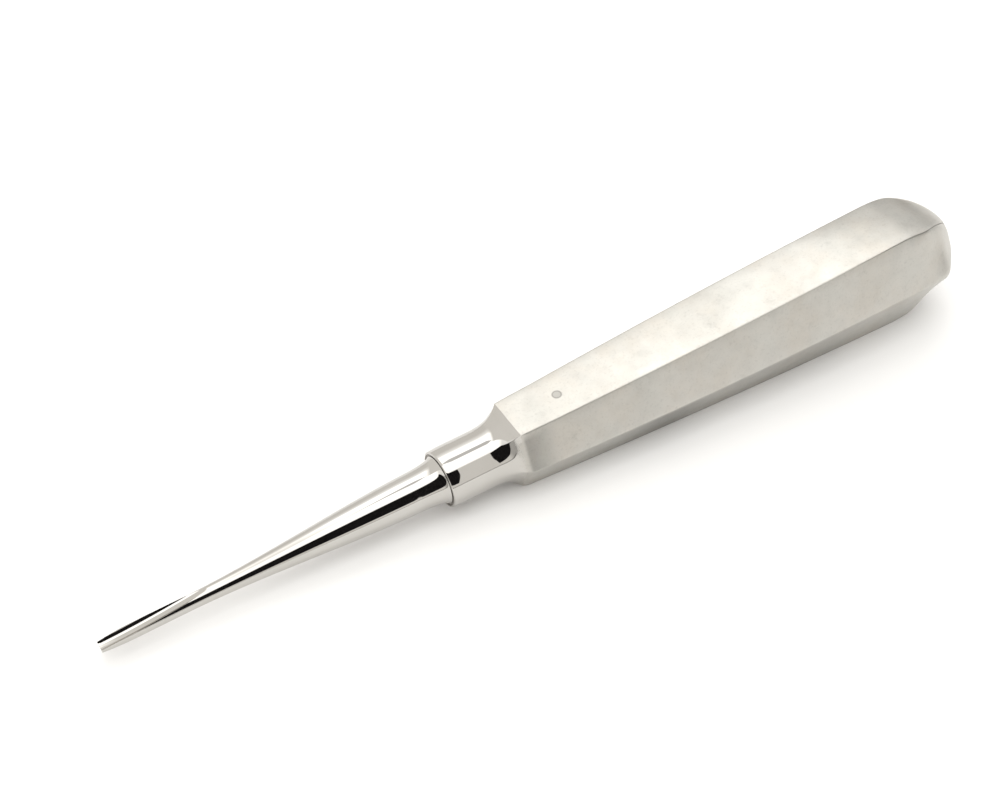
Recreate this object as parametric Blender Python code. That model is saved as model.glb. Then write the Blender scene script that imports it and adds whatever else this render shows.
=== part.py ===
"""Dental elevator: a straight gouge-ended blade in a hollow six-sided steel handle.

The instrument lies on one flat of its handle, as it does on a tray.  Everything is
modelled along the instrument's own axis, which runs from the tip (x = 0) to the butt
(x = LENGTH), with z across the flats.  An empty then tips that axis by the handle's
taper, so that the lower flat lies on the ground plane z = 0.

World frame: +X towards the butt, -X towards the tip, +Z up, origin on the ground
under the middle of the length.  All sizes are in metres.
"""
import math

import bmesh
import bpy
from mathutils import Matrix, Vector

MM = 0.001
GAP = 0.3 * MM                      # clearance between pieces that touch

# --- overall -----------------------------------------------------------------
LENGTH = 158.6 * MM

# --- blade: gouge, shank, base flare and hidden tang ---------------------------
TIP_RADIUS = 0.94 * MM
BLADE_RADIUS = 1.21 * MM
TIP_SWELL = 5.5 * MM                # the blade reaches its radius this far from the tip
TAPER_START = 13.45 * MM
TAPER_END = 56.2 * MM
SHANK_RADIUS = 3.35 * MM
FLARE_START = 54.3 * MM
FLARE_RADIUS = 4.15 * MM
TANG_RADIUS = 2.60 * MM
TANG_END_RADIUS = 2.30 * MM
TANG_END = 79.0 * MM
TANG_CHAMFER = 0.6 * MM
TANG_CHAMFER_LENGTH = 1.0 * MM
SHANK_SEGMENTS = 40

# --- gouge channel: a straight round groove, running out up the blade ----------
CHANNEL_RADIUS = 1.15 * MM
CHANNEL_TIP_OFFSET = 0.90 * MM      # groove centre above the axis, at the tip
CHANNEL_END = 17.5 * MM             # where the groove leaves the surface
CHANNEL_POWER = 1.72                # how the groove's floor climbs towards its end
CHANNEL_TURN = math.radians(-3.0)   # the groove faces up, a little to the far side (+y)
CHANNEL_SEGMENTS = 28
CHANNEL_STEPS = 14
CUTTER_FRONT = -1.0 * MM            # the groove's cutter overruns the groove at both ends
CUTTER_REAR = 1.1 * CHANNEL_END

# --- neck bolster: round collar, flare to six sides, spigot -----------------------
COLLAR_FRONT = 57.45 * MM
COLLAR_RADIUS = 4.90 * MM
COLLAR_EDGE = 0.20 * MM
COLLAR_END = 63.95 * MM             # the flare to the handle starts here
FLARE_POWER = 3.25
SHOULDER = 70.23 * MM               # front of the six-sided handle
BORE_RADIUS = TANG_RADIUS + GAP
SOCKET_RADIUS = 4.45 * MM           # counterbore for the brazing ring
SOCKET_DEPTH = 1.0 * MM
SPIGOT_END = 80.0 * MM

# --- handle: six flats, growing to the butt, then a dome --------------------------
GAUGE_END = 152.0 * MM              # section sizes are given here and at SHOULDER
HEIGHT_FRONT = 12.73 * MM           # across the upper and lower flats
HEIGHT_REAR = 20.50 * MM
FLAT_FRONT = 8.04 * MM              # width of the upper and lower flats
FLAT_MIDDLE = 10.43 * MM
FLAT_REAR = 10.69 * MM
CORNER_RATIO = 1.69                 # width across the side corners / flat width
WALL = 1.2 * MM

# --- dome: the height closes first, then the upper and lower flats, then the sides ----
HEIGHT_DOME_START = 143.4 * MM
HEIGHT_DOME_POWER = 2.24
FLAT_DOME_START = 149.0 * MM
FLAT_DOME_POWER = 1.07
SIDE_DOME_START = 153.3 * MM
SIDE_DOME_POWER = 1.02
DOME_EXPONENT = 0.7
SIDE_LEAST = 1.02                   # the side corners stay this far outside the flats
CAP_LENGTH = 2.0 * MM               # the last stretch is a round cap
CAP_CUT = 0.6                       # the dome's own apex lies this many caps past the end
DOME_WALL = 1.8 * MM                # wall at the middle of the dome, along the axis

# --- rounded long edges ---------------------------------------------------------------
EDGE_RADIUS = 0.40 * MM
EDGE_GROWTH = 3.7 * MM              # extra edge radius at the end of the dome
CAVITY_EDGE_RADIUS = 0.35 * MM
CORNER_STEPS = 4                    # even, so that a seam can run along a corner's middle
NECK_FLAT_STEPS = 6

HANDLE_FRONT = SHOULDER + GAP
TAPER = math.atan((HEIGHT_REAR - HEIGHT_FRONT) / 2 / (GAUGE_END - SHOULDER))
REST_HEIGHT = HEIGHT_FRONT / 2 * math.cos(TAPER) - SHOULDER * math.sin(TAPER)


def clear_scene():
    for obj in list(bpy.data.objects):
        bpy.data.objects.remove(obj, do_unlink=True)


def steel(name, colour, roughness):
    material = bpy.data.materials.new(name)
    material.use_nodes = True
    shader = material.node_tree.nodes["Principled BSDF"]
    shader.inputs["Base Color"].default_value = (*colour, 1.0)
    shader.inputs["Metallic"].default_value = 1.0
    shader.inputs["Roughness"].default_value = roughness
    return material


def new_object(name, bm, material, axis_frame):
    """Turn a bmesh into an object that is placed along the instrument's axis."""
    bmesh.ops.remove_doubles(bm, verts=bm.verts, dist=1e-7)
    bmesh.ops.recalc_face_normals(bm, faces=bm.faces)
    mesh = bpy.data.meshes.new(name)
    bm.to_mesh(mesh)
    bm.free()
    mesh.shade_smooth()
    mesh.set_sharp_from_angle(angle=math.radians(30.0))
    obj = bpy.data.objects.new(name, mesh)
    bpy.context.collection.objects.link(obj)
    obj.parent = axis_frame
    if material is not None:
        mesh.materials.append(material)
    return obj


def new_cutter(name, bm, axis_frame):
    cutter = new_object(name, bm, None, axis_frame)
    cutter.hide_render = True
    cutter.display_type = 'WIRE'
    return cutter


def add_boolean(obj, cutter, operation):
    modifier = obj.modifiers.new(cutter.name, 'BOOLEAN')
    modifier.operation = operation
    modifier.solver = 'EXACT'
    modifier.object = cutter


def smooth_step(u):
    u = min(max(u, 0.0), 1.0)
    return u * u * (3.0 - 2.0 * u)


# --- sections ------------------------------------------------------------------

def blade_radius(x):
    """Radius of the round blade and shank at a distance x from the tip."""
    if x < TIP_SWELL:
        u = 1.0 - x / TIP_SWELL
        return BLADE_RADIUS - (BLADE_RADIUS - TIP_RADIUS) * u * u
    u = (x - TAPER_START) / (TAPER_END - TAPER_START)
    radius = BLADE_RADIUS + (SHANK_RADIUS - BLADE_RADIUS) * smooth_step(u)
    if x > FLARE_START:
        u = (x - FLARE_START) / (COLLAR_FRONT - GAP - FLARE_START)
        radius += (FLARE_RADIUS - SHANK_RADIUS) * (1.0 - math.sqrt(max(1.0 - u * u, 0.0)))
    return radius


def handle_height(x):
    u = (x - SHOULDER) / (GAUGE_END - SHOULDER)
    return HEIGHT_FRONT + (HEIGHT_REAR - HEIGHT_FRONT) * u


def handle_flat(x):
    """Width of the upper flat: a parabola through three sizes, so the sides bow a little."""
    u = (x - SHOULDER) / (GAUGE_END - SHOULDER)
    front = FLAT_FRONT * (1.0 - u) * (1.0 - 2.0 * u)
    middle = FLAT_MIDDLE * 4.0 * u * (1.0 - u)
    rear = FLAT_REAR * u * (2.0 * u - 1.0)
    return front + middle + rear


def dome_scale(x, start, power):
    """How far a size has closed at x: 1 on the straight handle and 0 at its end."""
    cap_start = LENGTH - CAP_LENGTH
    apex = LENGTH + CAP_CUT * CAP_LENGTH
    u = max((min(x, cap_start) - start) / (apex - start), 0.0)
    scale = (1.0 - u ** power) ** DOME_EXPONENT
    if x > cap_start:
        scale *= math.sqrt(max((LENGTH - x) / CAP_LENGTH, 0.0))
    return scale


def dome_progress(x):
    return max((x - HEIGHT_DOME_START) / (LENGTH - HEIGHT_DOME_START), 0.0)


def hexagon(x, inset=0.0):
    """The six corners of the section at x, from the near upper one over the top.

    An inset section ends earlier: it is taken further along the dome, by up to the
    thickness of the wall there.
    """
    shrink = 1.0 - 2.0 * inset / handle_height(x)
    station = x
    if inset > 0.0:
        station = x + DOME_WALL * min(dome_progress(x + DOME_WALL), 1.0) ** 2
    half_flat = handle_flat(x) / 2 * shrink
    half_height = handle_height(x) / 2 * shrink
    y = half_flat * dome_scale(station, FLAT_DOME_START, FLAT_DOME_POWER)
    z = half_height * dome_scale(station, HEIGHT_DOME_START, HEIGHT_DOME_POWER)
    side = half_flat * CORNER_RATIO * dome_scale(station, SIDE_DOME_START, SIDE_DOME_POWER)
    side = max(side, y * SIDE_LEAST)
    corners = [(-y, z), (y, z), (side, 0.0), (y, -z), (-y, -z), (-side, 0.0)]
    return [Vector(corner) for corner in corners]


def rounded_corner(before, corner, after, radius):
    """Points on an arc that is tangent to the two flats that meet at a corner."""
    to_before = (before - corner).normalized()
    to_after = (after - corner).normalized()
    half = to_before.angle(to_after) / 2
    room = 0.45 * min((before - corner).length, (after - corner).length)
    reach = min(radius / math.tan(half), room)
    radius = reach * math.tan(half)
    centre = corner + (to_before + to_after).normalized() * (radius / math.sin(half))
    start = corner + to_before * reach - centre
    points = []
    for step in range(CORNER_STEPS + 1):
        angle = -(math.pi - 2 * half) * step / CORNER_STEPS
        c, s = math.cos(angle), math.sin(angle)
        points.append(centre + Vector((start.x * c - start.y * s, start.x * s + start.y * c)))
    return points


def section(corners, radius, flat_steps=1):
    """A closed outline: each corner's arc, then points along the flat that follows it."""
    arcs = []
    for index, corner in enumerate(corners):
        arcs.append(rounded_corner(corners[index - 1], corner, corners[(index + 1) % 6], radius))
    points = []
    for index, arc in enumerate(arcs):
        points += arc
        end = arcs[(index + 1) % 6][0]
        for step in range(1, flat_steps):
            points.append(arc[-1].lerp(end, step / flat_steps))
    return points


def circle_on(points, radius):
    """A circle whose points lie in the same directions as the given ones."""
    return [p.normalized() * radius for p in points]


def add_ring(bm, x, points):
    return [bm.verts.new((x, y, z)) for y, z in points]


def bridge(bm, first, second, closed=True):
    count = len(first)
    for i in range(count if closed else count - 1):
        j = (i + 1) % count
        bm.faces.new((first[i], first[j], second[j], second[i]))


# --- pieces --------------------------------------------------------------------

def make_blade(material, axis_frame):
    """Gouge, tapering shank, base flare and tang: one forged piece, turned about x."""
    stations = [0.0, 1.2 * MM, 2.8 * MM, TIP_SWELL, TAPER_START]
    taper_steps = 14
    for step in range(1, taper_steps + 1):
        stations.append(TAPER_START + (TAPER_END - TAPER_START) * step / taper_steps)
    stations.append(FLARE_START)
    flare_steps = 5
    shoulder = COLLAR_FRONT - GAP
    for step in range(1, flare_steps + 1):
        turn = math.pi / 2 * step / flare_steps
        stations.append(FLARE_START + (shoulder - FLARE_START) * math.sin(turn))
    profile = [(0.0, 0.0)] + [(x, blade_radius(x)) for x in stations]
    profile += [(shoulder, TANG_RADIUS), (TANG_END - TANG_CHAMFER_LENGTH, TANG_END_RADIUS)]
    profile += [(TANG_END, TANG_END_RADIUS - TANG_CHAMFER), (TANG_END, 0.0)]

    bm = bmesh.new()
    verts = [bm.verts.new((x, 0.0, r)) for x, r in profile]
    edges = [bm.edges.new(pair) for pair in zip(verts, verts[1:])]
    bmesh.ops.spin(bm, geom=verts + edges, cent=(0, 0, 0), axis=(1, 0, 0),
                   angle=2 * math.pi, steps=SHANK_SEGMENTS)
    blade = new_object("blade", bm, material, axis_frame)

    # The groove's centre line starts over the tip and climbs out of the blade on a curve.
    exit_offset = blade_radius(CHANNEL_END) + CHANNEL_RADIUS
    stations = [CUTTER_FRONT]
    stations += [CUTTER_REAR * step / CHANNEL_STEPS for step in range(CHANNEL_STEPS + 1)]
    bm = bmesh.new()
    rings = []
    for x in stations:
        climb = (max(x, 0.0) / CHANNEL_END) ** CHANNEL_POWER
        z = CHANNEL_TIP_OFFSET + (exit_offset - CHANNEL_TIP_OFFSET) * climb
        points = []
        for step in range(CHANNEL_SEGMENTS):
            turn = 2 * math.pi * step / CHANNEL_SEGMENTS
            points.append((CHANNEL_RADIUS * math.cos(turn), z + CHANNEL_RADIUS * math.sin(turn)))
        rings.append(add_ring(bm, x, points))
    for first, second in zip(rings, rings[1:]):
        bridge(bm, first, second)
    bm.faces.new(rings[0])
    bm.faces.new(rings[-1])
    bmesh.ops.recalc_face_normals(bm, faces=bm.faces)
    bm.transform(Matrix.Rotation(CHANNEL_TURN, 4, 'X'))
    cutter = new_cutter("channel_cutter", bm, axis_frame)
    add_boolean(blade, cutter, 'DIFFERENCE')
    return blade


def make_braze_ring(material, axis_frame):
    """The ring of brazing alloy that closes the mouth of the collar round the tang."""
    inner, outer = BORE_RADIUS, SOCKET_RADIUS - GAP
    front, rear = COLLAR_FRONT, COLLAR_FRONT + SOCKET_DEPTH - GAP
    bm = bmesh.new()
    corners = [(front, inner), (front, outer), (rear, outer), (rear, inner)]
    verts = [bm.verts.new((x, 0.0, r)) for x, r in corners]
    edges = [bm.edges.new((verts[i], verts[(i + 1) % 4])) for i in range(4)]
    bmesh.ops.spin(bm, geom=verts + edges, cent=(0, 0, 0), axis=(1, 0, 0),
                   angle=2 * math.pi, steps=SHANK_SEGMENTS)
    return new_object("braze_ring", bm, material, axis_frame)


def make_neck_bolster(material, axis_frame):
    """Collar, flare to the six-sided shoulder, and the bored spigot inside the shells."""
    shoulder = section(hexagon(SHOULDER), EDGE_RADIUS, NECK_FLAT_STEPS)

    def circle(radius):
        return circle_on(shoulder, radius)

    def spigot(x):
        return section(hexagon(x, WALL + GAP), CAVITY_EDGE_RADIUS, NECK_FLAT_STEPS)

    rings = [
        (COLLAR_FRONT + SOCKET_DEPTH, circle(BORE_RADIUS)),
        (COLLAR_FRONT + SOCKET_DEPTH, circle(SOCKET_RADIUS)),
        (COLLAR_FRONT, circle(SOCKET_RADIUS)),
        (COLLAR_FRONT, circle(COLLAR_RADIUS - COLLAR_EDGE)),
        (COLLAR_FRONT + COLLAR_EDGE, circle(COLLAR_RADIUS)),
        (COLLAR_END, circle(COLLAR_RADIUS)),
    ]
    flare_steps = 8
    collar = circle(COLLAR_RADIUS)
    for step in range(1, flare_steps + 1):
        u = step / flare_steps
        x = COLLAR_END + (SHOULDER - COLLAR_END) * u
        rings.append((x, [a.lerp(b, u ** FLARE_POWER) for a, b in zip(collar, shoulder)]))
    rings += [
        (SHOULDER, spigot(HANDLE_FRONT)),
        (SPIGOT_END, spigot(SPIGOT_END)),
        (SPIGOT_END, circle(BORE_RADIUS)),
    ]
    bm = bmesh.new()
    loops = [add_ring(bm, x, points) for x, points in rings]
    for first, second in zip(loops, loops[1:]):
        bridge(bm, first, second)
    bridge(bm, loops[-1], loops[0])
    return new_object("neck_bolster", bm, material, axis_frame)


def shell_stations(end):
    """Stations along a shell: a few on the straight part, closer together on the dome."""
    stations = []
    for start, stop, steps in ((HANDLE_FRONT, HEIGHT_DOME_START, 5),
                               (HEIGHT_DOME_START, FLAT_DOME_START, 4),
                               (FLAT_DOME_START, SIDE_DOME_START, 4)):
        stations += [start + (stop - start) * i / steps for i in range(steps)]
    end_steps = 9
    for step in range(end_steps):
        turn = math.pi / 2 * step / end_steps
        stations.append(SIDE_DOME_START + (end - SIDE_DOME_START) * math.sin(turn))
    return stations


def half_of(points, first_corner):
    """Half of an outline, between the middles of two opposite corners, less half a gap."""
    count = len(points)
    start = first_corner * count // 6 + CORNER_STEPS // 2
    half = [points[(start + i) % count].copy() for i in range(count // 2 + 1)]
    half[0] += (half[1] - half[0]).normalized() * (GAP / 2)
    half[-1] += (half[-2] - half[-1]).normalized() * (GAP / 2)
    return half


def make_handle_shell(name, first_corner, material, axis_frame):
    """One pressed half of the hollow handle, split along two opposite edges."""
    bm = bmesh.new()
    skins = []
    for end, inset in ((LENGTH, 0.0), (LENGTH - DOME_WALL, WALL)):
        loops = []
        for x in shell_stations(end):
            radius = CAVITY_EDGE_RADIUS
            if inset == 0.0:
                radius = EDGE_RADIUS + EDGE_GROWTH * dome_progress(x) ** 2
            outline = half_of(section(hexagon(x, inset), radius), first_corner)
            loops.append(add_ring(bm, x, outline))
        middle = (loops[-1][0].co + loops[-1][-1].co) / 2
        apex = bm.verts.new((end, middle.y, middle.z))
        for first, second in zip(loops, loops[1:]):
            bridge(bm, first, second, closed=False)
        for a, b in zip(loops[-1], loops[-1][1:]):
            bm.faces.new((a, b, apex))
        skins.append((loops, apex))
    (outer, outer_apex), (inner, inner_apex) = skins
    bridge(bm, outer[0], inner[0], closed=False)
    for side in (0, -1):
        outer_edge = [loop[side] for loop in outer] + [outer_apex]
        inner_edge = [loop[side] for loop in inner] + [inner_apex]
        bridge(bm, outer_edge, inner_edge, closed=False)
    return new_object(name, bm, material, axis_frame)


def build():
    clear_scene()
    polished = steel("polished_steel", (0.74, 0.72, 0.69), 0.08)
    satin = steel("satin_steel", (0.66, 0.64, 0.60), 0.38)
    braze = steel("silver_braze", (0.45, 0.43, 0.40), 0.35)

    axis_frame = bpy.data.objects.new("instrument_axis", None)
    bpy.context.collection.objects.link(axis_frame)
    axis_frame.rotation_euler = (0.0, -TAPER, 0.0)
    axis_frame.location = (-LENGTH / 2 * math.cos(TAPER), 0.0, REST_HEIGHT)

    make_blade(polished, axis_frame)
    make_braze_ring(braze, axis_frame)
    make_neck_bolster(polished.copy(), axis_frame)
    near_upper, far_lower = 0, 3
    make_handle_shell("handle_shell_top", near_upper, satin, axis_frame)
    make_handle_shell("handle_shell_bottom", far_lower, satin.copy(), axis_frame)


build()
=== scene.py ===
"""Studio picture of a straight dental elevator with a hollow six-sided steel handle.

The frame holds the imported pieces.  Each is replaced here by a finer piece of the same
size: a polished gouge blade, its brazing ring, a polished neck and two satin handle
shells that meet along two edges.  Sections are described along the instrument's own
axis (x from the tip, z across the flats) and then tipped onto the resting flat.
"""
import math

import bmesh
import bpy
from mathutils import Matrix, Vector


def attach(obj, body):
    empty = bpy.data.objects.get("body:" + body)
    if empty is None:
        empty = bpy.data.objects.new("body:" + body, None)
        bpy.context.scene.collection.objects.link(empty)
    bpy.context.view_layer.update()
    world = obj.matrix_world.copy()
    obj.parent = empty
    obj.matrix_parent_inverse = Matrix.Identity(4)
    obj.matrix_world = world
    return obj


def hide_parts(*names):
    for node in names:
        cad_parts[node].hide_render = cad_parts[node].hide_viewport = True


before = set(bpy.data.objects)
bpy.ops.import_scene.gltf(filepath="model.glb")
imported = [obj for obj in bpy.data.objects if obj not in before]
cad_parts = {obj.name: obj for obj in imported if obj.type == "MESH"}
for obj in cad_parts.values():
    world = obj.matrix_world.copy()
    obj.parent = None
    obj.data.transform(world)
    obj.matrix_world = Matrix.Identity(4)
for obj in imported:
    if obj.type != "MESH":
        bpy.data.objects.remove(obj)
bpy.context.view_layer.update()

MM = 0.001
MERGE_DISTANCE = 1e-8

# --- sizes of the frame's pieces ---------------------------------------------------
LENGTH = 158.6 * MM
SHOULDER = 70.23 * MM
GAUGE_END = 152.0 * MM
HEIGHT_FRONT, HEIGHT_REAR = 12.73 * MM, 20.50 * MM
FLAT_FRONT, FLAT_MIDDLE, FLAT_REAR = 8.04 * MM, 10.43 * MM, 10.69 * MM
CORNER_RATIO = 1.685               # width across the side corners, in widths of the flat
TAPER = math.atan((HEIGHT_REAR - HEIGHT_FRONT) / 2 / (GAUGE_END - SHOULDER))
REST_HEIGHT = HEIGHT_FRONT / 2 * math.cos(TAPER) - SHOULDER * math.sin(TAPER)
AXIS_FRAME = (Matrix.Translation((-LENGTH / 2 * math.cos(TAPER), 0.0, REST_HEIGHT))
              @ Matrix.Rotation(-TAPER, 4, 'Y'))

# --- handle ------------------------------------------------------------------------
HANDLE_FRONT = SHOULDER + 0.004 * MM
WALL = 1.2 * MM
HEIGHT_DOME_START, HEIGHT_DOME_POWER = 143.4 * MM, 2.24
FLAT_DOME_START, FLAT_DOME_POWER = 149.0 * MM, 1.07
SIDE_DOME_START, SIDE_DOME_POWER = 153.3 * MM, 1.02
DOME_EXPONENT = 0.7
DOME_EASE = 1.0 * MM               # each flat turns into the dome over twice this length
SIDE_LEAST = 1.02                  # the side corners stay this much wider than the flats
CAP_LENGTH = 2.0 * MM              # a round cap closes the dome, whose own curve would end
CAP_CUT = 0.6                      # this share of the cap's length beyond the butt
DOME_WALL = 1.8 * MM
EDGE_RADIUS = 0.40 * MM
EDGE_GROWTH = 3.7 * MM             # the edges get rounder by this much towards the butt
CAVITY_EDGE_RADIUS = 0.35 * MM
SEAM_FRONT, SEAM_REAR = 0.012 * MM, 0.075 * MM     # width of the seam between the shells
SEAM_OPENS = 128.0 * MM
FLAT_CROWN = 0.10 * MM             # how far the upper flat is from a plane
CROWN_SHIFT = 0.3                  # its crest lies this share of the half flat off the middle
CROWN_LOWEST, CROWN_BLEND = 0.90, 0.08             # shares of the half height that it reaches
CROWN_GROWS = 8.0 * MM             # it grows from the shoulder over this length
SHELL_SHARP = 50.0                 # degrees between two faces from which their edge is sharp
DOT_PLACE = Vector((79.25, -0.15, 6.79)) * MM
DOT_RADIUS = 0.75 * MM

# --- blade -------------------------------------------------------------------------
TIP_RADIUS, BLADE_RADIUS, SHANK_RADIUS = 0.94 * MM, 1.21 * MM, 3.35 * MM
TIP_SWELL = 5.5 * MM               # the blade widens from its tip over this length
TAPER_START, TAPER_END = 13.45 * MM, 56.2 * MM
FLARE_START, FLARE_RADIUS = 52.8 * MM, 4.15 * MM
TANG_RADIUS, TANG_END = 2.60 * MM, 79.0 * MM
TANG_REAR_RADIUS, TANG_TIP_RADIUS = 2.3 * MM, 1.7 * MM
TANG_TIP_LENGTH = 1.0 * MM
MOUTH_GAP = 0.03 * MM              # between the flared shank and the collar's mouth
BLADE_SEGMENTS, SWELL_STEPS, SHANK_STEPS, FLARE_STEPS = 128, 14, 130, 14
BLADE_SHARP = 35.0
CHANNEL_RADIUS = 1.15 * MM
CHANNEL_TIP_OFFSET = 0.90 * MM
CHANNEL_END = 17.5 * MM
CHANNEL_POWER = 1.72               # how the channel's floor climbs towards its end
CHANNEL_TURN = math.radians(-3.0)
CUTTER_FRONT, CUTTER_REAR = -1.0 * MM, 1.1 * CHANNEL_END
CUTTER_SEGMENTS, CUTTER_STEPS = 96, 60

# --- neck --------------------------------------------------------------------------
COLLAR_FRONT, COLLAR_END = 57.45 * MM, 63.95 * MM
COLLAR_RADIUS = 4.90 * MM
COLLAR_EDGE = 0.14 * MM
COLLAR_BOW, COLLAR_BOW_LENGTH = 0.13 * MM, 2.6 * MM
FLARE_POWER = 3.25
EDGE_STEPS, COLLAR_STEPS, NECK_FLARE_STEPS = 4, 24, 30
SHOULDER_SOFTNESS = 0.24 * MM      # how far the blended shoulder edge is polished down
SHOULDER_REACH = 1.3 * MM
CRISP_FADES = 0.25                 # share of a side over which the crisp edge turns soft
BORE_RADIUS = 2.90 * MM
SOCKET_RADIUS, SOCKET_DEPTH = 4.45 * MM, 1.0 * MM
SPIGOT_END, SPIGOT_GAP = 80.0 * MM, 0.1 * MM
NECK_SHARP = 24.0

# --- braze ring --------------------------------------------------------------------
BRAZE_SEGMENTS = 96
BRAZE_SIDE_GAP, BRAZE_END_GAP = 0.02 * MM, 0.05 * MM

# --- finish of the steel as shares of full satin, and painted shade as shares of its full darkening ---
BLEND_LENGTH = 1.7 * MM            # the polish of the neck fades into the satin over this
NECK_SATIN = 0.9                   # of which the neck's side of the shoulder takes this share
BLEND_TOP, BLEND_TOP_FADES = 0.80, 0.16            # shares of the half height
TOP_SHARE = 0.93                   # a point above this share of the half height is on top
# Painted shade on the satin: the near side just behind the shoulder, the upper flat before the
# dome and the lower flats in the middle.
TONE_STARTS, TONE_FADES = 0.6 * MM, 6.0 * MM
TONE_TOP_FADES = 0.05              # share of the half height over which it ends
REAR_TONE = 0.90
REAR_TONE_STARTS, REAR_TONE_RISES = 131.0 * MM, 16.0 * MM
REAR_TONE_ENDS, REAR_TONE_FADES = 145.5 * MM, 4.5 * MM
REAR_TONE_SLANT = 0.45             # it begins earlier towards the far edge
LOW_TONE = 0.40
LOW_PATCH, LOW_PATCH_REACH = 96.0 * MM, 13.0 * MM
LOW_TONE_STARTS, LOW_TONE_ENDS, LOW_TONE_FADES = 78.0 * MM, 126.0 * MM, 12.0 * MM
LOW_TONE_EDGE = 0.06               # share of the half height over which it sets in

# --- camera ------------------------------------------------------------------------
CAMERA_TILT = math.radians(47.0)
CAMERA_TURN = math.radians(31.31)
CAMERA_DISTANCE = 300.26 * MM
CAMERA_AIM = Vector((-2.606, 13.344, 0.0)) * MM
CAMERA_LENS, CAMERA_SENSOR = 64.8, 36.0
CAMERA_CLIP = 10.0 * MM


# ===== mesh helpers ==================================================================

def smooth_step(u):
    u = min(max(u, 0.0), 1.0)
    return u * u * (3.0 - 2.0 * u)


def shade(mesh, sharp_degrees):
    mesh.shade_smooth()
    mesh.set_sharp_from_angle(angle=math.radians(sharp_degrees))


def finish_mesh(name, bm, sharp_degrees):
    bmesh.ops.remove_doubles(bm, verts=bm.verts, dist=MERGE_DISTANCE)
    bmesh.ops.recalc_face_normals(bm, faces=bm.faces)
    bm.transform(AXIS_FRAME)
    mesh = bpy.data.meshes.new(name)
    bm.to_mesh(mesh)
    bm.free()
    shade(mesh, sharp_degrees)
    obj = bpy.data.objects.new(name, mesh)
    bpy.context.scene.collection.objects.link(obj)
    return obj


def circle(radius, segments, height=0.0):
    """Points (y, z) round the axis, or round a line this high above it."""
    turns = [2 * math.pi * i / segments for i in range(segments)]
    return [(radius * math.cos(turn), height + radius * math.sin(turn)) for turn in turns]


def add_ring(bm, x, points):
    return [bm.verts.new((x, y, z)) for y, z in points]


def bridge(bm, first, second, closed=True):
    count = len(first)
    for i in range(count if closed else count - 1):
        j = (i + 1) % count
        bm.faces.new((first[i], first[j], second[j], second[i]))


def add_tube(bm, rings, capped=True):
    """Skin a row of closed rings, each given as a place along x and its points."""
    loops = [add_ring(bm, x, points) for x, points in rings]
    for first, second in zip(loops, loops[1:]):
        bridge(bm, first, second)
    if capped:
        bm.faces.new(loops[0])
        bm.faces.new(loops[-1])
    else:
        bridge(bm, loops[-1], loops[0])


def mark(obj, name, share):
    """Store a value per vertex, from its place (x, y, z) along the instrument."""
    to_axis = AXIS_FRAME.inverted()
    layer = obj.data.attributes.new(name, 'FLOAT', 'POINT')
    layer.data.foreach_set("value", [share(to_axis @ v.co) for v in obj.data.vertices])
    return obj


def place_piece(obj, material, nodes):
    obj.data.materials.append(material)
    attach(obj, "root")
    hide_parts(*nodes)
    return obj


# ===== sections ======================================================================

CORNER_STEPS = 6
FLAT_STEPS = 6
ARC_ROOM = 0.45                    # share of a side that a corner's arc may take
POINTS_PER_SIDE = CORNER_STEPS + FLAT_STEPS
HALF_POINTS = 3 * POINTS_PER_SIDE


def blade_radius(x):
    if x < TIP_SWELL:
        u = 1.0 - x / TIP_SWELL
        return BLADE_RADIUS - (BLADE_RADIUS - TIP_RADIUS) * u * u
    u = (x - TAPER_START) / (TAPER_END - TAPER_START)
    radius = BLADE_RADIUS + (SHANK_RADIUS - BLADE_RADIUS) * smooth_step(u)
    if x > FLARE_START:
        u = min((x - FLARE_START) / (COLLAR_FRONT - FLARE_START), 1.0)
        radius += (FLARE_RADIUS - SHANK_RADIUS) * (1.0 - math.sqrt(1.0 - u * u))
    return radius


def handle_height(x):
    u = (x - SHOULDER) / (GAUGE_END - SHOULDER)
    return HEIGHT_FRONT + (HEIGHT_REAR - HEIGHT_FRONT) * u


def handle_flat(x):
    u = (x - SHOULDER) / (GAUGE_END - SHOULDER)
    front = FLAT_FRONT * (1.0 - u) * (1.0 - 2.0 * u)
    middle = FLAT_MIDDLE * 4.0 * u * (1.0 - u)
    rear = FLAT_REAR * u * (2.0 * u - 1.0)
    return front + middle + rear


def dome_scale(x, start, power):
    cap_start = LENGTH - CAP_LENGTH
    apex = LENGTH + CAP_CUT * CAP_LENGTH
    into = min(x, cap_start) - start
    if abs(into) < DOME_EASE:
        into = (into + DOME_EASE) ** 2 / (4.0 * DOME_EASE)
    u = max(into / (apex - start), 0.0)
    scale = (1.0 - u ** power) ** DOME_EXPONENT
    if x > cap_start:
        scale *= math.sqrt(max((LENGTH - x) / CAP_LENGTH, 0.0))
    return scale


def dome_progress(x):
    return max((x - HEIGHT_DOME_START) / (LENGTH - HEIGHT_DOME_START), 0.0)


def hexagon(x, inset=0.0):
    """Six corners (y, z), starting at the near upper edge and running over the top.

    An inset outline runs ahead of the outer one in the dome, so the wall is thicker there.
    """
    shrink = 1.0 - 2.0 * inset / handle_height(x)
    station = x
    if inset > 0.0:
        station = x + DOME_WALL * min(dome_progress(x + DOME_WALL), 1.0) ** 2
    half_flat = handle_flat(x) / 2 * shrink
    half_height = handle_height(x) / 2 * shrink
    y = half_flat * dome_scale(station, FLAT_DOME_START, FLAT_DOME_POWER)
    z = half_height * dome_scale(station, HEIGHT_DOME_START, HEIGHT_DOME_POWER)
    side = half_flat * CORNER_RATIO * dome_scale(station, SIDE_DOME_START, SIDE_DOME_POWER)
    side = max(side, y * SIDE_LEAST)
    corners = [(-y, z), (y, z), (side, 0.0), (y, -z), (-y, -z), (-side, 0.0)]
    return [Vector(corner) for corner in corners]


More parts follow.
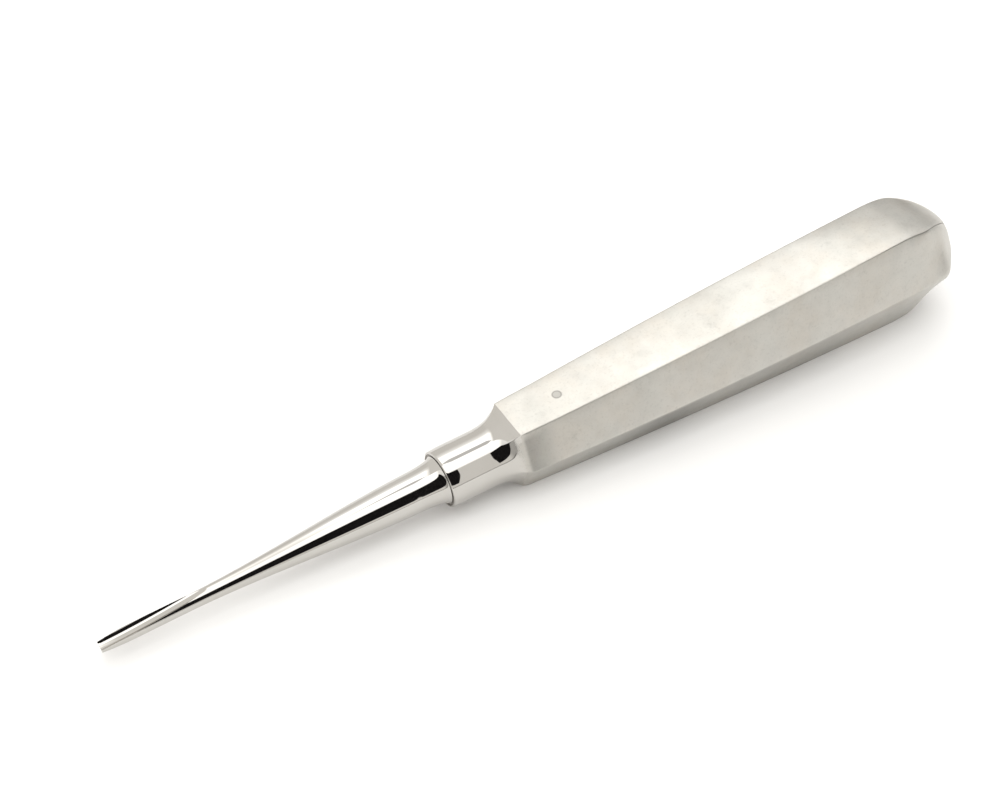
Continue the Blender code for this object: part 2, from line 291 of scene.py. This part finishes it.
def rounded_corner(before, corner, after, radius):
    """Points on an arc that is tangent to both flats at a corner."""
    to_before = (before - corner).normalized()
    to_after = (after - corner).normalized()
    half = to_before.angle(to_after) / 2
    room = ARC_ROOM * min((before - corner).length, (after - corner).length)
    reach = min(radius / math.tan(half), room)
    radius = reach * math.tan(half)
    centre = corner + (to_before + to_after).normalized() * (radius / math.sin(half))
    start = corner + to_before * reach - centre
    points = []
    for step in range(CORNER_STEPS + 1):
        angle = -(math.pi - 2 * half) * step / CORNER_STEPS
        c, s = math.cos(angle), math.sin(angle)
        points.append(centre + Vector((start.x * c - start.y * s, start.x * s + start.y * c)))
    return points


def section(corners, radius):
    """A closed outline: each corner's arc, then points along the flat that follows it."""
    arcs = []
    for index, corner in enumerate(corners):
        arcs.append(rounded_corner(corners[index - 1], corner, corners[(index + 1) % 6], radius))
    points = []
    for index, arc in enumerate(arcs):
        points += arc
        end = arcs[(index + 1) % 6][0]
        for step in range(1, FLAT_STEPS):
            points.append(arc[-1].lerp(end, step / FLAT_STEPS))
    return points


def crown_upper_flat(x, points):
    """Let the upper flat fall away a little towards its far edge, as pressed sheet does."""
    half_flat, top = handle_flat(x) / 2, max(point.y for point in points)
    crowned = []
    for point in points:
        on_top = smooth_step((point.y / top - CROWN_LOWEST) / CROWN_BLEND)
        offset = point.x / half_flat + CROWN_SHIFT
        crowned.append(Vector((point.x, point.y - FLAT_CROWN * offset * offset * on_top)))
    return crowned


def soften_shoulder(x, points):
    """Pull the shoulder's edge in, except along the upper flat, where it stays crisp."""
    u = max(1.0 - abs(x - SHOULDER) / SHOULDER_REACH, 0.0)
    if u == 0.0:
        return points
    softened = []
    for index, point in enumerate(points):
        turn = (index - CORNER_STEPS / 2) / POINTS_PER_SIDE     # 0 to 1 along the upper flat
        weight = smooth_step((abs(turn - 0.5) - 0.5) / CRISP_FADES)
        depth = SHOULDER_SOFTNESS * u * u * weight
        softened.append(point * (1.0 - depth / point.length))
    return softened


# ===== pieces ========================================================================

def make_blank():
    """The blade before its gouge is ground: tip, round shank, flare and tang."""
    flare_end = COLLAR_FRONT - MOUTH_GAP
    shank_length, flare_length = FLARE_START - TIP_SWELL, flare_end - FLARE_START
    stations = [TIP_SWELL * i / SWELL_STEPS for i in range(SWELL_STEPS)]
    stations += [TIP_SWELL + shank_length * i / SHANK_STEPS for i in range(SHANK_STEPS)]
    stations += [FLARE_START + flare_length * math.sin(math.pi / 2 * i / FLARE_STEPS)
                 for i in range(FLARE_STEPS + 1)]
    profile = [(x, blade_radius(x)) for x in stations]
    profile += [(flare_end, TANG_RADIUS), (TANG_END - TANG_TIP_LENGTH, TANG_REAR_RADIUS),
                (TANG_END, TANG_TIP_RADIUS)]
    bm = bmesh.new()
    add_tube(bm, [(x, circle(radius, BLADE_SEGMENTS)) for x, radius in profile])
    return finish_mesh("gouge_blade", bm, BLADE_SHARP)


def make_channel_cutter():
    """A round bar that leaves the blade upwards, along the floor of the gouge's channel."""
    exit_offset = blade_radius(CHANNEL_END) + CHANNEL_RADIUS
    stations = [CUTTER_FRONT] + [CUTTER_REAR * i / CUTTER_STEPS for i in range(CUTTER_STEPS + 1)]
    rings = []
    for x in stations:
        climb = (max(x, 0.0) / CHANNEL_END) ** CHANNEL_POWER
        height = CHANNEL_TIP_OFFSET + (exit_offset - CHANNEL_TIP_OFFSET) * climb
        rings.append((x, circle(CHANNEL_RADIUS, CUTTER_SEGMENTS, height)))
    bm = bmesh.new()
    add_tube(bm, rings)
    bm.transform(Matrix.Rotation(CHANNEL_TURN, 4, 'X'))
    return finish_mesh("channel_cutter", bm, BLADE_SHARP)


def make_blade():
    blade, cutter = make_blank(), make_channel_cutter()
    modifier = blade.modifiers.new("channel", 'BOOLEAN')
    modifier.operation = 'DIFFERENCE'
    modifier.solver = 'EXACT'
    modifier.object = cutter
    evaluated = blade.evaluated_get(bpy.context.evaluated_depsgraph_get())
    mesh = bpy.data.meshes.new_from_object(evaluated)
    blade.modifiers.clear()
    blade.data = mesh
    shade(mesh, BLADE_SHARP)
    bpy.data.objects.remove(cutter)
    return blade


def make_braze_ring():
    inner, outer = BORE_RADIUS, SOCKET_RADIUS - BRAZE_SIDE_GAP
    front = COLLAR_FRONT + BRAZE_END_GAP
    rear = COLLAR_FRONT + SOCKET_DEPTH - BRAZE_END_GAP
    profile = [(front, inner), (front, outer), (rear, outer), (rear, inner)]
    bm = bmesh.new()
    add_tube(bm, [(x, circle(radius, BRAZE_SEGMENTS)) for x, radius in profile], capped=False)
    return finish_mesh("braze_ring_fine", bm, BLADE_SHARP)


def nowhere(place):
    return 0.0


def below_top(height):
    """1 on the sides and below, 0 at the upper flat; height is a share of the half height."""
    return 1.0 - smooth_step((height - BLEND_TOP) / BLEND_TOP_FADES)


def neck_satin(place):
    """The polish fades out over the shoulder, except under the upper flat."""
    low = below_top(place.z / (HEIGHT_FRONT / 2))
    return low * NECK_SATIN * smooth_step((place.x - SHOULDER) / BLEND_LENGTH + 1.0)


def shell_satin(place):
    """Full satin, except for what is left of the neck's polish just behind the shoulder."""
    low = below_top(place.z / (handle_height(place.x) / 2))
    polish = 1.0 - smooth_step((place.x - HANDLE_FRONT) / BLEND_LENGTH)
    return 1.0 - low * (1.0 - NECK_SATIN) * polish


def painted_shade_share(place):
    """How much painted shade darkens the satin, in patches.

    The painted shade darkens the near side just behind the shoulder, the upper flat before the
    dome and the lower flats in the middle.
    """
    height = place.z / (handle_height(place.x) / 2)
    if height > TOP_SHARE * dome_scale(place.x, HEIGHT_DOME_START, HEIGHT_DOME_POWER):
        return rear_shade_share(place)
    if height < 0.0:
        return low_shade_share(place) * smooth_step(-height / LOW_TONE_EDGE)
    if place.y > 0.0:
        return 0.0
    behind = place.x - SHOULDER
    return ((1.0 - smooth_step((height - TOP_SHARE) / TONE_TOP_FADES))
            * smooth_step(behind / TONE_STARTS)
            * (1.0 - smooth_step((behind - TONE_STARTS) / TONE_FADES)))


# Painted shade on the upper flat before the dome, reaching further forward towards its far edge.
def rear_shade_share(place):
    across = place.y / (handle_flat(place.x) / 2)
    rise = (place.x - REAR_TONE_STARTS) / REAR_TONE_RISES + REAR_TONE_SLANT * across
    fall = smooth_step((place.x - REAR_TONE_ENDS) / REAR_TONE_FADES)
    return REAR_TONE * smooth_step(rise) * (1.0 - fall)


# Painted shade on the lower flats in the middle, with a darker patch.
def low_shade_share(place):
    middle = (smooth_step((place.x - LOW_TONE_STARTS) / LOW_TONE_FADES)
              * (1.0 - smooth_step((place.x - LOW_TONE_ENDS) / LOW_TONE_FADES)))
    patch = 1.0 - smooth_step(abs(place.x - LOW_PATCH) / LOW_PATCH_REACH)
    return max(LOW_TONE * middle, patch)


def collar_radius(x):
    """The collar closes in a little towards its mouth, as hand polishing leaves it."""
    u = max(1.0 - (x - COLLAR_FRONT) / COLLAR_BOW_LENGTH, 0.0)
    return COLLAR_RADIUS - COLLAR_BOW * u * u


def make_neck():
    outline = section(hexagon(SHOULDER), EDGE_RADIUS)

    def round_outline(radius):
        """A circle whose points lie in the same directions as the shoulder's."""
        return [point.normalized() * radius for point in outline]

    socket_end = COLLAR_FRONT + SOCKET_DEPTH
    rings = [(socket_end, round_outline(BORE_RADIUS)),
             (socket_end, round_outline(SOCKET_RADIUS)),
             (COLLAR_FRONT, round_outline(SOCKET_RADIUS))]
    for step in range(EDGE_STEPS + 1):
        turn = math.pi / 2 * step / EDGE_STEPS
        x = COLLAR_FRONT + COLLAR_EDGE * (1 - math.cos(turn))
        rings.append((x, round_outline(collar_radius(x) - COLLAR_EDGE * (1 - math.sin(turn)))))
    collar_start = COLLAR_FRONT + COLLAR_EDGE
    for step in range(1, COLLAR_STEPS + 1):
        x = collar_start + (COLLAR_END - collar_start) * step / COLLAR_STEPS
        rings.append((x, round_outline(collar_radius(x))))
    collar = round_outline(COLLAR_RADIUS)
    for step in range(1, NECK_FLARE_STEPS + 1):
        u = step / NECK_FLARE_STEPS
        x = COLLAR_END + (SHOULDER - COLLAR_END) * u
        flare = [a.lerp(b, u ** FLARE_POWER) for a, b in zip(collar, outline)]
        rings.append((x, soften_shoulder(x, flare)))
    spigot = section(hexagon(SHOULDER, WALL + SPIGOT_GAP), CAVITY_EDGE_RADIUS)
    rings += [(SHOULDER, spigot), (SPIGOT_END, spigot), (SPIGOT_END, round_outline(BORE_RADIUS))]
    bm = bmesh.new()
    add_tube(bm, rings, capped=False)
    return finish_mesh("polished_neck", bm, NECK_SHARP)


def shell_stations(end):
    stations = []
    front_end = HANDLE_FRONT + SHOULDER_REACH
    for start, stop, steps in ((HANDLE_FRONT, front_end, 8),
                               (front_end, HEIGHT_DOME_START, 40),
                               (HEIGHT_DOME_START, FLAT_DOME_START, 14),
                               (FLAT_DOME_START, SIDE_DOME_START, 14)):
        stations += [start + (stop - start) * i / steps for i in range(steps)]
    end_steps = 36
    stations += [SIDE_DOME_START + (end - SIDE_DOME_START)
                 * math.sin(math.pi / 2 * i / end_steps) for i in range(end_steps)]
    return stations


def half_of(points, first_corner, gap):
    """Half of an outline, between the middles of two opposite corners, less half a gap."""
    start = first_corner * POINTS_PER_SIDE + CORNER_STEPS // 2
    half = [points[(start + i) % len(points)].copy() for i in range(HALF_POINTS + 1)]
    half[0] += (half[1] - half[0]).normalized() * (gap / 2)
    half[-1] += (half[-2] - half[-1]).normalized() * (gap / 2)
    return half


def seam_gap(x):
    opened = smooth_step((x - SEAM_OPENS) / (HEIGHT_DOME_START - SEAM_OPENS))
    return SEAM_FRONT + (SEAM_REAR - SEAM_FRONT) * opened


def outer_outline(x):
    outline = section(hexagon(x), EDGE_RADIUS + EDGE_GROWTH * dome_progress(x) ** 2)
    crown = smooth_step((x - HANDLE_FRONT) / CROWN_GROWS)
    crowned = [a.lerp(b, crown) for a, b in zip(outline, crown_upper_flat(x, outline))]
    return soften_shoulder(x, crowned)


def inner_outline(x):
    return section(hexagon(x, WALL), CAVITY_EDGE_RADIUS)


def make_shell(name, first_corner):
    """Half of the hollow handle, from the middle of one corner to the opposite one."""
    bm = bmesh.new()
    skins = []
    for end, outline_at in ((LENGTH, outer_outline), (LENGTH - DOME_WALL, inner_outline)):
        loops = []
        for x in shell_stations(end):
            loops.append(add_ring(bm, x, half_of(outline_at(x), first_corner, seam_gap(x))))
        middle = (loops[-1][0].co + loops[-1][-1].co) / 2
        apex = bm.verts.new((end, middle.y, middle.z))
        for first, second in zip(loops, loops[1:]):
            bridge(bm, first, second, closed=False)
        for a, b in zip(loops[-1], loops[-1][1:]):
            bm.faces.new((a, b, apex))
        skins.append((loops, apex))
    (outer, outer_apex), (inner, inner_apex) = skins
    bridge(bm, outer[0], inner[0], closed=False)
    for side in (0, -1):
        outer_edge = [loop[side] for loop in outer] + [outer_apex]
        inner_edge = [loop[side] for loop in inner] + [inner_apex]
        bridge(bm, outer_edge, inner_edge, closed=False)
    return finish_mesh(name, bm, SHELL_SHARP)


# ===== materials =====================================================================

def new_material(name):
    material = bpy.data.materials.new(name)
    material.use_nodes = True
    return material, material.node_tree, material.node_tree.nodes["Principled BSDF"]


def texture_place(tree, along=1.0):
    """Places for a texture, which a value under 1 stretches along the instrument."""
    coordinates = tree.nodes.new("ShaderNodeTexCoord")
    mapping = tree.nodes.new("ShaderNodeMapping")
    mapping.inputs["Scale"].default_value = (along, 1.0, 1.0)
    tree.links.new(coordinates.outputs["Object"], mapping.inputs["Vector"])
    return mapping.outputs["Vector"]


def noise(tree, place, scale, detail=4.0, roughness=0.5):
    node = tree.nodes.new("ShaderNodeTexNoise")
    node.inputs["Scale"].default_value = scale
    node.inputs["Detail"].default_value = detail
    node.inputs["Roughness"].default_value = roughness
    tree.links.new(place, node.inputs["Vector"])
    return node.outputs["Fac"]


def ramp(tree, value, stops):
    node = tree.nodes.new("ShaderNodeValToRGB")
    elements = node.color_ramp.elements
    elements[0].position, elements[0].color = stops[0][0], (*stops[0][1], 1.0)
    elements[1].position, elements[1].color = stops[-1][0], (*stops[-1][1], 1.0)
    for position, colour in stops[1:-1]:
        element = elements.new(position)
        element.color = (*colour, 1.0)
    tree.links.new(value, node.inputs["Fac"])
    return node.outputs["Color"]


def grey(value):
    return (value, value, value)


def multiply(tree, first, second):
    node = tree.nodes.new("ShaderNodeMix")
    node.data_type = 'RGBA'
    node.blend_type = 'MULTIPLY'
    node.inputs["Factor"].default_value = 1.0
    tree.links.new(first, node.inputs["A"])
    tree.links.new(second, node.inputs["B"])
    return node.outputs["Result"]


def mix(tree, factor, first, second):
    node = tree.nodes.new("ShaderNodeMix")
    node.data_type = 'RGBA'
    tree.links.new(factor, node.inputs["Factor"])
    tree.links.new(first, node.inputs["A"])
    tree.links.new(second, node.inputs["B"])
    return node.outputs["Result"]


def map_range(tree, value, low, high, first, last):
    node = tree.nodes.new("ShaderNodeMapRange")
    for name, number in (("From Min", low), ("From Max", high), ("To Min", first),
                         ("To Max", last)):
        node.inputs[name].default_value = number
    tree.links.new(value, node.inputs["Value"])
    return node.outputs["Result"]


def bump(tree, height, strength, distance):
    node = tree.nodes.new("ShaderNodeBump")
    node.inputs["Strength"].default_value = strength
    node.inputs["Distance"].default_value = distance
    tree.links.new(height, node.inputs["Height"])
    return node


def calculate(tree, operation, *values):
    """A maths node's result; each value is a number or another node's output."""
    node = tree.nodes.new("ShaderNodeMath")
    node.operation = operation
    for socket, value in zip(node.inputs, values):
        if isinstance(value, float):
            socket.default_value = value
        else:
            tree.links.new(value, socket)
    return node.outputs["Value"]


def vertex_value(tree, name):
    node = tree.nodes.new("ShaderNodeAttribute")
    node.attribute_name = name
    return node.outputs["Fac"]


def polished_look(tree):
    """Colour and roughness of the mirror polish: faint clouds, and lengthwise smears."""
    cloud = noise(tree, texture_place(tree), scale=90.0)
    colour = ramp(tree, cloud, [(0.3, (0.520, 0.503, 0.474)), (0.7, (0.563, 0.549, 0.525))])
    smear = noise(tree, texture_place(tree, along=0.25), scale=700.0, detail=6.0, roughness=0.6)
    return colour, ramp(tree, smear, [(0.35, grey(0.025)), (0.8, grey(0.07))])


def satin_look(tree):
    """Colour and roughness of the satin, with marks of several sizes."""
    place = texture_place(tree)
    drift = noise(tree, place, scale=45.0, detail=3.0)
    mottle = noise(tree, place, scale=420.0, detail=5.0, roughness=0.6)
    smudge = noise(tree, place, scale=210.0, detail=6.0, roughness=0.7)
    hue = noise(tree, place, scale=130.0, roughness=0.6)
    speck = noise(tree, place, scale=2600.0, detail=2.0)
    colour = ramp(tree, drift, [(0.3, (0.515, 0.500, 0.463)), (0.7, (0.560, 0.545, 0.510))])
    for pattern, stops in (
            (mottle, [(0.30, grey(0.94)), (0.55, grey(1.0)), (0.75, grey(1.03))]),
            (smudge, [(0.58, grey(1.0)), (0.66, grey(0.91)), (0.74, grey(0.78))]),
            (hue, [(0.38, (1.0, 0.985, 0.97)), (0.50, grey(1.0)), (0.62, (0.985, 0.995, 1.0))]),
            (speck, [(0.25, grey(0.90)), (0.45, grey(1.0))])):
        colour = multiply(tree, colour, ramp(tree, pattern, stops))
    gloss = noise(tree, place, scale=150.0, detail=5.0, roughness=0.6)
    return colour, ramp(tree, gloss, [(0.3, grey(0.30)), (0.7, grey(0.42))])


def blended_steel(name):
    """Mirror polish that turns into satin where the vertex value called satin rises."""
    material, tree, shader = new_material(name)
    shader.inputs["Metallic"].default_value = 1.0
    share = vertex_value(tree, "satin")
    shine, shine_roughness = polished_look(tree)
    satin, satin_roughness = satin_look(tree)
    # Painted shade: where the vertex value is full it darkens the colour to 0.64 of itself.
    painted_shade = ramp(tree, vertex_value(tree, "painted_shade"), [(0.0, grey(1.0)), (1.0, grey(0.64))])
    tree.links.new(multiply(tree, mix(tree, share, shine, satin), painted_shade),
                   shader.inputs["Base Color"])
    tree.links.new(mix(tree, share, shine_roughness, satin_roughness),
                   shader.inputs["Roughness"])
    waves = noise(tree, texture_place(tree, along=0.35), scale=260.0, detail=2.0, roughness=0.4)
    polish_bump = bump(tree, waves, strength=0.06, distance=0.02 * MM)
    grain = noise(tree, texture_place(tree), scale=5200.0, detail=3.0, roughness=0.6)
    grain_bump = bump(tree, grain, strength=0.0, distance=0.03 * MM)
    tree.links.new(calculate(tree, 'MULTIPLY', share, 0.30), grain_bump.inputs["Strength"])
    tree.links.new(polish_bump.outputs["Normal"], grain_bump.inputs["Normal"])
    tree.links.new(grain_bump.outputs["Normal"], shader.inputs["Normal"])
    return material


def etch_dot(material):
    """A plain etched dot on the upper flat, near the neck."""
    tree = material.node_tree
    base = tree.nodes["Principled BSDF"].inputs["Base Color"]
    colour = base.links[0].from_socket
    coordinates = tree.nodes.new("ShaderNodeTexCoord")
    distance = tree.nodes.new("ShaderNodeVectorMath")
    distance.operation = 'DISTANCE'
    distance.inputs[1].default_value = AXIS_FRAME @ DOT_PLACE
    tree.links.new(coordinates.outputs["Object"], distance.inputs[0])
    radii = map_range(tree, distance.outputs["Value"], 0.0, 2.0 * DOT_RADIUS, 0.0, 1.0)
    tone = ramp(tree, radii, [(0.0, grey(0.72)), (0.36, grey(0.70)), (0.44, grey(0.52)),
                              (0.52, grey(0.56)), (0.60, grey(1.0))])
    tree.links.new(multiply(tree, colour, tone), base)


def dull_braze():
    material, tree, shader = new_material("dull_braze")
    shader.inputs["Metallic"].default_value = 1.0
    shader.inputs["Roughness"].default_value = 0.45
    place = texture_place(tree)
    tint = ramp(tree, noise(tree, place, scale=1500.0),
                [(0.3, (0.16, 0.15, 0.14)), (0.7, (0.30, 0.28, 0.26))])
    tree.links.new(tint, shader.inputs["Base Color"])
    pits = bump(tree, noise(tree, place, scale=3000.0), strength=0.4, distance=0.05 * MM)
    tree.links.new(pits.outputs["Normal"], shader.inputs["Normal"])
    return material


def matt_material(name, colour, roughness, specular):
    material, _, shader = new_material(name)
    shader.inputs["Base Color"].default_value = (*colour, 1.0)
    shader.inputs["Roughness"].default_value = roughness
    shader.inputs["Specular IOR Level"].default_value = specular
    return material


# ===== studio ========================================================================

FLOOR_SIZE = 6.0
SCREEN_DISTANCE = 0.60
SCREEN_COLUMNS = 24
SCREEN_START = -150.0              # heading in degrees
SCREEN_EDGE = [                    # elevation and the heading where the screen ends there
    (11.0, -81.0), (20.0, -80.0), (35.0, -77.0), (58.0, -71.0),
]
SCREEN_RISE = 0.75                 # its rows climb by this share towards its start
ROOM_STRENGTH = 2.8
WARM, WHITE = (1.0, 0.975, 0.93), (1.0, 0.99, 0.97)
ROOM_LIGHT = [                     # angle in degrees, radiance, colour
    (0.0, 0.50, WARM), (2.0, 0.50, WARM), (3.0, 1.00, WARM), (59.0, 1.00, WARM),
    (63.0, 2.05, WHITE), (84.0, 2.20, WHITE), (110.0, 2.55, WHITE), (125.0, 2.75, WHITE),
    (136.0, 1.45, WHITE), (150.0, 1.00, WARM), (180.0, 0.95, WARM),
]
ROOM_ENDS = [                      # position along the instrument, share of the light
    (-1.0, 0.60), (-0.38, 0.60), (-0.18, 1.0), (0.46, 1.0), (0.64, 0.58), (1.0, 0.52),
]
GAP_ANGLE, GAP_HALF_WIDTH, GAP_SOFTNESS = 101.5, 5.4, 1.6     # of the dark strip, in degrees
GAP_LEVEL = 0.37                       # share of the light that is left in the strip
GAP_CLOSED, GAP_OPEN = 0.02, 0.17      # positions where it starts and is at full width
FAR_SIDE = 96.0                        # beyond this angle the room towards the tip is even
FAR_DIM, FAR_BRIGHT = -0.03, 0.07      # positions where the even part ends, softly
FAR_LEVEL = 1.05                       # radiance of the even part


def make_floor():
    bpy.ops.mesh.primitive_plane_add(size=FLOOR_SIZE, location=(0, 0, 0))
    floor = bpy.context.object
    floor.name = "floor"
    sheet = matt_material("white_sheet", grey(0.96), roughness=0.9, specular=0.1)
    floor.data.materials.append(sheet)


def heading(degrees):
    """A level direction, in degrees turned from the instrument's axis towards its far side."""
    return Vector((math.cos(math.radians(degrees)), math.sin(math.radians(degrees)), 0.0))


def make_dark_screen():
    """The unlit side of the room behind the camera: a curved dark screen, cut at a slant.

    Only reflections show it, and it takes no light from the floor.
    """
    bm = bmesh.new()
    rows = []
    for elevation, end in SCREEN_EDGE:
        row = []
        for i in range(SCREEN_COLUMNS + 1):
            turn = SCREEN_START + (end - SCREEN_START) * i / SCREEN_COLUMNS
            rise = SCREEN_DISTANCE * math.tan(math.radians(elevation))
            rise *= 1.0 + SCREEN_RISE * (1.0 - i / SCREEN_COLUMNS)
            row.append(bm.verts.new(heading(turn) * SCREEN_DISTANCE + Vector((0, 0, rise))))
        rows.append(row)
    for low, high in zip(rows, rows[1:]):
        bridge(bm, low, high, closed=False)
    mesh = bpy.data.meshes.new("dark_screen")
    bm.to_mesh(mesh)
    bm.free()
    screen = bpy.data.objects.new("dark_screen", mesh)
    bpy.context.scene.collection.objects.link(screen)
    cloth = matt_material("dark_cloth", (0.012, 0.011, 0.012), roughness=1.0, specular=0.0)
    mesh.materials.append(cloth)
    screen.visible_diffuse = False
    screen.visible_shadow = False


def room_light(tree, turn, along):
    """The room's own light: it changes with the angle round the instrument and along it."""
    stops = [(degrees / 180.0, [c * level / ROOM_STRENGTH for c in colour])
             for degrees, level, colour in ROOM_LIGHT]
    around = ramp(tree, turn, stops)
    place = map_range(tree, along, -1.0, 1.0, 0.0, 1.0)
    ends = ramp(tree, place, [((x + 1.0) / 2.0, grey(share)) for x, share in ROOM_ENDS])
    return multiply(tree, around, ends)


def gap_share(tree, turn, along):
    """The share of the light that is left: less in the dark strip, and all beside it."""
    soft = GAP_SOFTNESS / 180.0
    aside = calculate(tree, 'ABSOLUTE', calculate(tree, 'SUBTRACT', turn, GAP_ANGLE / 180.0))
    half_width = map_range(tree, along, GAP_CLOSED, GAP_OPEN, -soft, GAP_HALF_WIDTH / 180.0)
    outside = calculate(tree, 'SUBTRACT', aside, half_width)
    return map_range(tree, outside, 0.0, soft, GAP_LEVEL, 1.0)


def far_share(tree, turn, along):
    """1 on the far side towards the tip, where the room is even, and 0 elsewhere."""
    towards_tip = map_range(tree, along, FAR_DIM, FAR_BRIGHT, 1.0, 0.0)
    beyond = map_range(tree, turn, FAR_SIDE / 180.0, (FAR_SIDE + GAP_SOFTNESS) / 180.0, 0.0, 1.0)
    return calculate(tree, 'MULTIPLY', towards_tip, beyond)


def make_world():
    """A bright room, described by directions seen from the instrument.

    The angle round it is 0 at the level on the near side, 90 degrees overhead and 180 on
    the far side.  The place along it is -1 towards the tip and 1 towards the butt.  Two
    bright ceiling panels leave a narrow darker strip between them.
    """
    world = bpy.data.worlds.new("soft_room")
    world.use_nodes = True
    bpy.context.scene.world = world
    tree = world.node_tree
    coordinates = tree.nodes.new("ShaderNodeTexCoord")
    split = tree.nodes.new("ShaderNodeSeparateXYZ")
    tree.links.new(coordinates.outputs["Generated"], split.inputs["Vector"])
    along = split.outputs["X"]
    near = calculate(tree, 'MULTIPLY', split.outputs["Y"], -1.0)
    angle = calculate(tree, 'ARCTAN2', split.outputs["Z"], near)
    turn = calculate(tree, 'DIVIDE', angle, math.pi)

    room = multiply(tree, room_light(tree, turn, along), gap_share(tree, turn, along))
    even = tree.nodes.new("ShaderNodeRGB")
    even.outputs["Color"].default_value = (*[c * FAR_LEVEL / ROOM_STRENGTH for c in WARM], 1.0)
    light = mix(tree, far_share(tree, turn, along), room, even.outputs["Color"])
    background = tree.nodes["Background"]
    background.inputs["Strength"].default_value = ROOM_STRENGTH
    tree.links.new(light, background.inputs["Color"])


def make_studio():
    make_floor()
    make_dark_screen()
    make_world()


def make_camera():
    camera = bpy.data.cameras.new("camera")
    camera.lens = CAMERA_LENS
    camera.sensor_width = CAMERA_SENSOR
    camera.clip_start = CAMERA_CLIP
    obj = bpy.data.objects.new("camera", camera)
    forward = Vector((math.cos(CAMERA_TILT) * math.sin(CAMERA_TURN),
                      math.cos(CAMERA_TILT) * math.cos(CAMERA_TURN),
                      -math.sin(CAMERA_TILT)))
    obj.location = CAMERA_AIM - forward * CAMERA_DISTANCE
    obj.rotation_euler = (math.pi / 2 - CAMERA_TILT, 0.0, -CAMERA_TURN)
    bpy.context.scene.collection.objects.link(obj)
    bpy.context.scene.camera = obj


def make_pieces():
    polished = blended_steel("polished_steel")
    satin = blended_steel("satin_steel")
    etch_dot(satin)
    blade, neck = make_blade(), make_neck()
    for piece, share in ((blade, nowhere), (neck, neck_satin)):
        mark(piece, "satin", share)
        mark(piece, "painted_shade", nowhere)
    place_piece(blade, polished, ["blade"])
    place_piece(make_braze_ring(), dull_braze(), ["braze_ring"])
    place_piece(neck, polished, ["neck_bolster"])
    for piece_name, node_name, seam_corner in (
            ("satin_shell_top", "handle_shell_top", 0),
            ("satin_shell_bottom", "handle_shell_bottom", 3)):
        shell = mark(make_shell(piece_name, seam_corner), "satin", shell_satin)
        # The shells get patches of painted shade.
        mark(shell, "painted_shade", painted_shade_share)
        place_piece(shell, satin, [node_name])


make_camera()
make_studio()
bpy.context.scene.view_settings.view_transform = 'Standard'
make_pieces()

bpy.context.view_layer.update()
